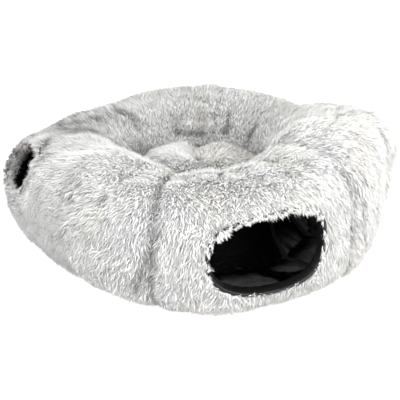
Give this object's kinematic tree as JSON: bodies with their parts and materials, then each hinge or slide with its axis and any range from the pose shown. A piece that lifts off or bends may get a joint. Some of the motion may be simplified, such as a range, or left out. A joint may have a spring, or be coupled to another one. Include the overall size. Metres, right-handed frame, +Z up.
{
  "type": "donut cat tunnel",
  "caption": "Ring-shaped plush cat tunnel on sprung hoops, with an entrance on each side, round a removable nest cushion.",
  "frame": {"origin": "middle of the flat underside, on the floor", "axes": "+Z up, -Y towards the front entrance, +X towards the right entrance"},
  "size_m": [0.7896, 0.7746, 0.277],
  "materials": {
    "plush": "long-pile plush, light grey to white tips over dark grey roots",
    "wadding": "soft bonded polyester wadding",
    "lining": "plain-woven black polyester with a slight gloss, lightly crinkled",
    "binding": "folded satin tape",
    "tape": "matte woven tape",
    "hoop_steel": "bright drawn spring wire",
    "base_felt": "dotted nonwoven felt",
    "filling": "loose hollow fibre",
    "ribbon": "folded woven ribbon"
  },
  "bodies": {
    "tunnel": {"cover_panel_front": "plush", "cover_panel_right": "plush", "cover_panel_back": "plush", "cover_panel_left": "plush", "cover_panel_front_right": "plush", "cover_panel_back_right": "plush", "cover_panel_back_left": "plush", "cover_panel_front_left": "plush", "wadding_panel_front": "wadding", "wadding_panel_right": "wadding", "wadding_panel_back": "wadding", "wadding_panel_left": "wadding", "wadding_panel_front_right": "wadding", "wadding_panel_back_right": "wadding", "wadding_panel_back_left": "wadding", "wadding_panel_front_left": "wadding", "lining_panel_front": "lining", "lining_panel_right": "lining", "lining_panel_back": "lining", "lining_panel_left": "lining", "lining_panel_front_right": "lining", "lining_panel_back_right": "lining", "lining_panel_back_left": "lining", "lining_panel_front_left": "lining", "opening_binding_front": "binding", "opening_binding_right": "binding", "opening_binding_back": "binding", "opening_binding_left": "binding", "opening_hoop_front": "hoop_steel", "opening_hoop_right": "hoop_steel", "opening_hoop_back": "hoop_steel", "opening_hoop_left": "hoop_steel", "seam_hoop_1": "hoop_steel", "seam_hoop_2": "hoop_steel", "seam_hoop_3": "hoop_steel", "seam_hoop_4": "hoop_steel", "seam_hoop_5": "hoop_steel", "seam_hoop_6": "hoop_steel", "seam_hoop_7": "hoop_steel", "seam_hoop_8": "hoop_steel", "hoop_casing_1": "tape", "hoop_casing_2": "tape", "hoop_casing_3": "tape", "hoop_casing_4": "tape", "hoop_casing_5": "tape", "hoop_casing_6": "tape", "hoop_casing_7": "tape", "hoop_casing_8": "tape", "base_fabric": "base_felt", "side_tab": "ribbon"},
    "cushion": {"cushion_cover": "plush", "cushion_fill": "filling", "cushion_base": "base_felt"}
  },
  "joints": [
    {"name": "cushion_lift", "type": "slide", "parent": "tunnel", "child": "cushion", "axis": [0, 0, 1], "range_m": [0, 0.3]}
  ]
}
